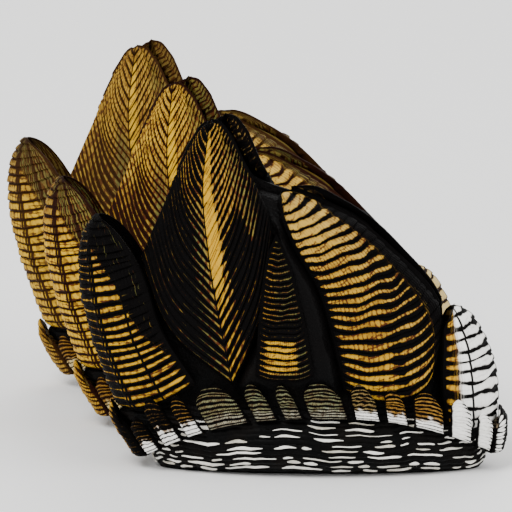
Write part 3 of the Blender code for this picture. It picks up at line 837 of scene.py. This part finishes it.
def shell_finish(name, tones, stroke, stain_and_shade_share, outline, inner_face_shade):
    """Shell plate: ochre with green and bleached zones, a dark line on every growth ridge whose width follows
    the stain, so that the lines merge into painted shade where it is high, brown hatching along and across
    the ridges, whose cross strokes show only in that painted shade, striae that take over from the lines on
    the wings, and a dark rim that is painted shade along the plate's edges. stroke is the lines' least half
    width as a share of a ridge, stain_and_shade_share how far stain widens them, outline the dark rim's width
    in millimetres, inner_face_shade how far the inner face is darkened as painted shade, which leaves flecks
    of painted rim light near its edge."""
    tones = {zone: srgb(*tone) for zone, tone in tones.items()}
    finish = Finish(name, Specular_IOR_Level=0.04)
    u, phase = finish.growth()
    stain_and_painted_shade, moss, glow, bleach, wing, inside, rim, rib, lot = (finish.field(key) for key in (
        "stain_and_painted_shade", "moss", "glow", "bleach", "wing", "inside", "rim", "rib", "lot"))
    place = finish.place()
    clouds = finish.noise(place, 160, 3)
    mottle = finish.noise(place, 900, 3, 0.6)
    grain = finish.noise(place, 4200, 2, 0.6)
    strokes = finish.noise(finish.vector(u * 9, phase * 0.9, lot), 1.0, 3, 0.6)
    dashes = finish.noise(finish.vector(u * 5, phase * 1.7, lot + 7), 1.0, 3, 0.6)
    streaks = finish.noise(finish.vector(u * 22, phase * 0.35, lot + 3), 1.0, 3, 0.6)

    across = (phase + 0.53).from_line()
    own = finish.chance((phase + 0.03).whole() + lot)
    width = (stain_and_painted_shade * stain_and_shade_share).least(0.42) + own * 0.05 + (strokes - 0.5) * 0.30 + stroke
    line = across.under(width, 0.045)
    halo = 1 - across.step(width, width + 0.17)
    hatch = (phase * 1.27 + u * 1.6 + strokes * 0.6 + lot).from_line().under(0.09, 0.04)
    hatch = hatch * dashes.step(0.43, 0.52)
    # Cross strokes: short striae across the ridges that show only where the stain is high, so they follow the
    # painted shade.
    cross = (u * 13 + phase * 0.4 + strokes * 1.6 + lot).from_line().under(0.18, 0.06)
    cross = cross * stain_and_painted_shade.step(-0.08, 0.16) * dashes.step(0.34, 0.48) * (1 - bleach * 0.9) * (1 - glow * 0.4)
    striae = (u * 26 + strokes * 1.2).from_line()
    stripe = striae.under(stain_and_painted_shade * stain_and_shade_share * 0.55 + (streaks - 0.5) * 0.9 + 0.14, 0.06)
    # A dark rim along every edge of the plate: painted shade where the plates meet.
    edge = (rim + (mottle - 0.5) * 0.35).under(outline, 0.08)
    # Flecks near the edge of the inner face that are left out of its painted shade: painted rim light.
    painted_rim_light = rim.step(0.45, 0.6) * rim.under(1.4, 0.2) * streaks.step(0.50, 0.60)

    # Each ridge's tone lightens from its groove towards its crest: painted shade in the grooves.
    ochre = (clouds * 0.8 + mottle * 0.4 + (phase + 0.03).within() * 0.3 - 0.25).step(0.2, 0.8)
    body = finish.mix(tones["deep"], tones["light"], ochre)
    body = finish.mix(body, tones["glow"], glow * 0.85)
    body = finish.mix(body, tones["moss"], (moss * (mottle * 0.9 + 0.45)).least(1.0))
    body = finish.mix(body, tones["bone"], bleach)
    brown = halo * 0.35 + hatch * 0.75 + (1 - mottle).step(0.48, 0.66) * 0.35
    brown = brown * (1 - bleach * 0.8) * (1 - wing * 0.7) + cross * 0.8
    body = finish.mix(body, tones["inside"], inside * 0.8)
    body = finish.mix(body, tones["brown"], brown.least(1.0))
    dark = (line + wing * (stripe - line)).most(rib.under(0.15, 0.05)).most(edge)
    # The inner face darkens towards the line colour as painted shade, but for the flecks of painted rim
    # light.
    dark = dark.most(inside * inner_face_shade * (1 - painted_rim_light)).least(1.0)
    colour = finish.mix(body, tones["line"], dark)
    roughness = 0.42 + mottle * 0.25 + dark * 0.15
    height = grain * 0.35 + mottle * 0.5 + striae * (wing * 0.9 + 0.4)
    height = height - line * (0.6 - wing * 0.5) - hatch * 0.2
    return finish.done(colour, roughness, finish.bump(height, 0.07))


def skin_finish(name, mantle_tone):
    """Leathery stalk skin: near-black brown, creased and pebbled, with a dull sheen. The mantle above it
    has the tone given, streaked lengthwise; on the front barnacle that tone is near-black painted shade."""
    finish = Finish(name, Specular_IOR_Level=0.05)
    place = finish.place()
    mantle = finish.field("mantle")
    clouds = finish.noise(place, 260, 3)
    pebbles = finish.add("ShaderNodeTexVoronoi", {}, {"Vector": place, "Scale": 2300.0})
    grain = finish.noise(place, 5200, 2)
    streaks = (finish.field("depth") * 2.4 + clouds * 1.4).from_line()
    colour = finish.mix(srgb(3, 3, 3), srgb(12, 9, 7), clouds.step(0.42, 0.72))
    colour = finish.mix(colour, srgb(*mantle_tone), mantle * (streaks.step(0.06, 0.30) * 0.4 + 0.6))
    return finish.done(colour, 0.42 + clouds * 0.25, finish.bump(pebbles * 0.8 + grain * 0.3, 0.08))


def scale_finish():
    """Small scales of the stalk: chalky white, greyer towards some."""
    finish = Finish("stalk scales")
    place = finish.place()
    lot = finish.field("lot")
    mottle = finish.noise(place, 1500, 3, 0.6)
    grain = finish.noise(place, 5200, 2)
    shade = finish.chance(lot) * 0.6 + mottle * 0.5
    colour = finish.mix(srgb(246, 243, 234), srgb(168, 160, 140), shade.step(0.45, 1.0))
    return finish.done(colour, 0.5 + mottle * 0.2, finish.bump(mottle + grain * 0.4, 0.05))


# Display colours of the kinds of shell and of the mantle, 0 to 255.
FRONT_TONES = dict(light=(180, 142, 48), deep=(138, 98, 26), glow=(190, 146, 28), moss=(86, 96, 52),
                   brown=(72, 36, 16), bone=(208, 180, 108), inside=(150, 120, 60), line=(3, 2, 2))
MIDDLE_TONES = dict(light=(196, 156, 48), deep=(150, 106, 26), glow=(212, 166, 30), moss=(92, 92, 46),
                    brown=(80, 42, 18), bone=(206, 174, 98), inside=(88, 92, 46), line=(34, 14, 6))
REAR_TONES = dict(light=(178, 142, 52), deep=(130, 94, 30), glow=(198, 156, 36), moss=(82, 80, 42),
                  brown=(78, 48, 20), bone=(190, 162, 96), inside=(112, 92, 44), line=(48, 28, 10))
BONE_TONES = dict(light=(190, 148, 44), deep=(160, 114, 26), glow=(188, 142, 30), moss=(150, 150, 120),
                  brown=(84, 46, 18), bone=(251, 249, 243), inside=(150, 120, 60), line=(3, 2, 2))
FAR_BONE_TONES = dict(light=(160, 122, 40), deep=(120, 84, 24), glow=(170, 128, 30), moss=(80, 78, 42),
                      brown=(74, 42, 18), bone=(200, 176, 118), inside=(112, 92, 44), line=(30, 14, 6))
WHORL_TONES = dict(light=(170, 138, 62), deep=(106, 74, 32), glow=(152, 110, 40), moss=(104, 112, 84),
                   brown=(54, 32, 16), bone=(250, 248, 242), inside=(60, 50, 34), line=(3, 2, 2))
FAR_WHORL_TONES = dict(light=(166, 132, 54), deep=(104, 72, 28), glow=(150, 108, 36), moss=(98, 98, 58),
                       brown=(66, 38, 16), bone=(206, 186, 132), inside=(70, 56, 30), line=(34, 18, 8))
# The front mantle's near-black is painted shade in the gaps between its plates; the middle and rear keep
# olive brown.
MANTLE_TONES = dict(front=(4, 3, 3), middle=(92, 74, 30), rear=(96, 80, 36))


# ---------------------------------------------------------------- pieces

def add_valve(rank, name, valve, zones, far, finish, seed):
    """A near or far valve on its surface."""
    side = "far" if far else "near"
    grid = growth_grid(valve, seed)
    base = valve_surface(valve, grid[0], grid[2])
    if far:
        base = to_far_side(base)
    add_plate(f"{rank}_{name}_{side}_plate", rank, valve, grid, base, zones, finish,
              [f"{rank}_{name}_{side}"])


def add_hood(rank, name, hood, zones, finish, seed):
    """A carina or rostrum on its surface."""
    grid = growth_grid(hood, seed)
    base = hood_surface(hood, grid[0], grid[2])
    add_plate(f"{rank}_{name}_plate", rank, hood, grid, base, zones, finish, [f"{rank}_{name}"])


def add_whorl(rank, seed, shell, bone, whorl):
    """All the whorl's plates: the two end plates and twelve on each side."""
    middles, halves, end_half = whorl_angles()
    ends = (("subcarina", 0.0, subcarina_zones, shell, f"{rank}_shell"),
            ("subrostrum", np.pi, subrostrum_zones, bone, "bone_shell"))
    for name, middle, zones, finish, slot in ends:
        grid = growth_grid(END_PLATE, seed + len(name))
        base = whorl_surface(middle, end_half, END_PLATE, grid[0], grid[2])
        add_plate(f"{rank}_{name}_plate", rank, END_PLATE, grid, base, zones, finish,
                  [f"{rank}_{name}"])
    for index, (middle, half) in enumerate(zip(middles, halves)):
        zones, reach = whorl_zones(index), WHORL_REACH.get(index, 1.0)
        for side, mirror in (("near", 1), ("far", -1)):
            grid = growth_grid(WHORL_PLATE, seed + 10 * index + mirror)
            base = whorl_surface(middle, half, WHORL_PLATE, grid[0], grid[2], reach) * (1, mirror, 1)
            nodes = []
            if index in SOLID_PLATES:
                nodes = [f"{rank}_whorl_{side}_{SOLID_PLATES.index(index) + 1}"]
            add_plate(f"{rank}_whorl_{side}_plate_{index + 1}", rank, WHORL_PLATE, grid, base, zones, whorl,
                      nodes)


def ring_quads(ring):
    """Quads between the rows of a table of point numbers, each row closed round."""
    after = np.roll(ring, -1, axis=1)
    return np.stack([ring[:-1], after[:-1], after[1:], ring[1:]], -1).reshape(-1, 4)


def ring_fans(ring, first, last):
    """Triangles that close the first row with one point and the last row with another."""
    after = np.roll(ring, -1, axis=1)
    return np.concatenate([np.stack([after[0], ring[0], np.full_like(ring[0], first)], -1),
                           np.stack([ring[-1], after[-1], np.full_like(ring[-1], last)], -1)])


def add_stalk(rank, seed, skin):
    """Stalk and mantle skin: rows of points round every height, closed by the flat cut and by a low dome,
    whose rows draw in to the middle by the cosine and climb by the sine of one angle."""
    heights = np.concatenate([np.linspace(*rows) for rows in SKIN_ROWS])
    angle, z = np.meshgrid(np.linspace(0, 2 * np.pi, SKIN_AROUND + 1), heights)
    points = wrinkled_skin(angle, z, seed)[:, :-1]
    dome = np.linspace(0, np.pi / 2, 9)[1:-1, None, None]
    crest = points[-1:].mean(1, keepdims=True)
    top = crest + (points[-1:] - crest) * np.cos(dome) + (0, 0, MANTLE_DOME) * np.sin(dome)
    points = np.concatenate([points, top])
    ring = np.arange(len(points) * SKIN_AROUND).reshape(-1, SKIN_AROUND)
    fans = ring_fans(ring, ring.size, ring.size + 1)
    whole = np.concatenate([points.reshape(-1, 3), [points[0].mean(0), points[-1].mean(0)]])
    fields = dict(mantle=rise(whole[:, 2], 10.0, 14.0), depth=np.abs(whole[:, 1]))
    piece = add_piece(f"{rank}_stalk_skin", in_cluster(whole, rank), ring_quads(ring), fans, fields, None,
                      skin)
    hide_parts(f"{rank}_stalk")


def scattered_scales(random):
    """Angle and wrinkle of the scales' middles, and their half lengths as angles and half heights in
    wrinkles: laid one after the other round each wrinkle with gaps between them, a few left out."""
    middles, sizes = [], []
    for row in range(1, SCALE_ROWS + 1):
        reach = 0.0
        while reach < 2 * np.pi:
            half_long = random.uniform(*SCALE_LONG) * (SCALE_LONGER if random.random() < 0.3 else 1.0)
            step = half_long / STALK_RADIUS
            middles.append((reach + step, row + 0.5 + random.uniform(-0.16, 0.16)))
            sizes.append((step * 0.94, random.uniform(*SCALE_HIGH)))
            reach += 2 * step + random.uniform(*SCALE_GAP) / STALK_RADIUS
    kept = random.random(len(middles)) < SCALES_THERE
    return np.array(middles)[kept], np.array(sizes)[kept]


def scale_bodies(middles, sizes, seed):
    """Points of the scales, as scales by rows by points round. Each is an almond on the skin, longer than
    high: its rows run from end to end with the cosine of t, swell with its sine and follow the skin."""
    rows, around = SCALE_POINTS
    t = np.linspace(0, np.pi, rows)[None, :, None]
    a = np.linspace(0, 2 * np.pi, around, endpoint=False)[None, None, :]
    row = middles[:, 1, None, None]
    angle = middles[:, 0, None, None] - sizes[:, 0, None, None] * np.cos(t)
    angle = np.broadcast_to(angle, (len(middles), rows, around))
    half_high = np.sin(t) ** 0.85 * (1 + 0.3 * np.sin(2.4 * t + row * 9)) * sizes[:, 1, None, None]
    z = (row - wrinkle_phase(angle, 0.0, seed) + half_high * np.cos(a)) * WRINKLE_STEP
    out = 0.05 + SCALE_THICK * np.sin(t) ** 0.5 * np.sin(a)
    step = 0.01
    base = skin_surface(np.mod(angle, 2 * np.pi), z)
    round_it = skin_surface(np.mod(angle + step, 2 * np.pi), z) - base
    up_it = skin_surface(np.mod(angle, 2 * np.pi), z + step) - base
    normal = np.cross(round_it, up_it)
    normal /= np.maximum(np.linalg.norm(normal, axis=-1, keepdims=True), 1e-9)
    low, high = SCALES_WITHIN
    return (base + normal * out[..., None])[(z.min((1, 2)) > low) & (z.max((1, 2)) < high)]


def add_scales(rank, seed, finish):
    """The small scales on the stalk's wrinkles, as one piece of closed bodies."""
    points = scale_bodies(*scattered_scales(np.random.default_rng(seed + 900)), seed)
    count, rows, around = points.shape[:3]
    bodies = points[:, 1:-1].reshape(count, -1, 3)
    whole = np.concatenate([bodies, points[:, (0, -1)].mean(2)], 1)
    ring = np.arange((rows - 2) * around).reshape(-1, around)
    start = (np.arange(count) * whole.shape[1])[:, None, None]
    quads = (start + ring_quads(ring)).reshape(-1, 4)
    fans = (start + ring_fans(ring, ring.size, ring.size + 1)).reshape(-1, 3)
    fields = {"lot": np.repeat(np.arange(count) * 1.37, whole.shape[1])}
    whole = in_cluster(whole.reshape(-1, 3), rank)
    piece = add_piece(f"{rank}_stalk_scales", whole, quads, fans, fields, None, finish)


def add_barnacle(rank, shell, bone, whorl, skin, scales):
    """All the pieces of one barnacle."""
    seed = RANKS[rank][1]
    add_stalk(rank, seed, skin)
    add_scales(rank, seed, scales)
    add_hood(rank, "carina", CARINA, carina_zones, shell, seed + 1)
    add_hood(rank, "rostrum", ROSTRUM, rostrum_zones, bone, seed + 2)
    for far in (False, True):
        add_valve(rank, "tergum", TERGUM, tergum_zones, far, shell, seed + 3 + far)
        add_valve(rank, "scutum", SCUTUM, scutum_zones, far, shell, seed + 5 + far)
        add_valve(rank, "upper_latus", UPPER_LATUS, latus_zones, far, shell, seed + 7 + far)
    add_whorl(rank, seed, shell, bone, whorl)


# ---------------------------------------------------------------- studio

def add_floor():
    """Plain pale floor under the cut face of the stalks."""
    corners = [(x * FLOOR_HALF, y * FLOOR_HALF, 0) for x, y in ((-1, -1), (1, -1), (1, 1), (-1, 1))]
    mesh = bpy.data.meshes.new("floor")
    mesh.from_pydata(corners, [], [(0, 1, 2, 3)])
    mesh.materials.append(Finish("floor paper", Roughness=0.9, Base_Color=srgb(253, 253, 252)).material)
    floor = bpy.data.objects.new("studio_floor", mesh)
    bpy.context.scene.collection.objects.link(floor)


def add_light(name, place, size, watts, aim):
    """Square soft light turned towards the aim."""
    light = bpy.data.lights.new(name, "AREA")
    light.energy, light.size = watts, size
    made = bpy.data.objects.new(name, light)
    made.location = place
    made.rotation_euler = (Vector(aim) - Vector(place)).to_track_quat("-Z", "Y").to_euler()
    bpy.context.scene.collection.objects.link(made)


def add_camera(aim):
    """Long lens, looking along +Y and down at the object."""
    camera = bpy.data.cameras.new("camera")
    camera.lens, camera.clip_start = LENS, 0.01
    made = bpy.data.objects.new("camera", camera)
    tilt = math.radians(CAMERA_DOWN)
    made.location = Vector(aim) + CAMERA_AWAY * Vector((0, -math.cos(tilt), math.sin(tilt)))
    made.rotation_euler = (math.pi / 2 - tilt, 0, 0)
    bpy.context.scene.collection.objects.link(made)
    bpy.context.scene.camera = made


def add_studio():
    """Floor, soft lights, camera and pale surroundings, aimed at the front barnacle."""
    low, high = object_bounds()
    aim = (AIM_RIGHT * MM, PLACES["front"][1][1] * MM, (low[2] + high[2]) / 2 + AIM_UP * MM)
    add_floor()
    for name, place, size, watts in LIGHTS:
        add_light(name, place, size, watts, aim)
    add_camera(aim)
    world = bpy.data.worlds.new("studio")
    world.use_nodes = True
    background = world.node_tree.nodes["Background"].inputs
    background["Color"].default_value = srgb(246, 246, 246)
    background["Strength"].default_value = 0.9
    bpy.context.scene.world = world


PLACES = {rank: place_of(rank) for rank in RANKS}
scales = scale_finish()
# The front barnacle's lines are near black, widen far more with the stain and darken its inner faces almost
# to black, so it carries much more painted shade than the middle and rear, whose lines are browner and paler.
bones = dict(
    front=shell_finish("bone shell", BONE_TONES, 0.07, 0.9, 0.30, 0.5),
    middle=shell_finish("middle bone shell", FAR_BONE_TONES, 0.07, 0.35, 0.24, 0.4),
    rear=shell_finish("rear bone shell", FAR_BONE_TONES, 0.06, 0.30, 0.20, 0.4),
)
whorls = dict(
    front=shell_finish("whorl shell", WHORL_TONES, 0.12, 0.6, 0.24, 0.75),
    middle=shell_finish("middle whorl shell", FAR_WHORL_TONES, 0.10, 0.35, 0.20, 0.6),
    rear=shell_finish("rear whorl shell", FAR_WHORL_TONES, 0.10, 0.30, 0.18, 0.6),
)
shells = dict(
    front=shell_finish("front shell", FRONT_TONES, 0.07, 0.95, 0.38, 0.97),
    middle=shell_finish("middle shell", MIDDLE_TONES, 0.08, 0.24, 0.28, 0.20),
    rear=shell_finish("rear shell", REAR_TONES, 0.08, 0.20, 0.24, 0.20),
)
for rank in RANKS:
    skin = skin_finish(f"{rank} stalk skin", MANTLE_TONES[rank])
    add_barnacle(rank, shells[rank], bones[rank], whorls[rank], skin, scales)
add_studio()
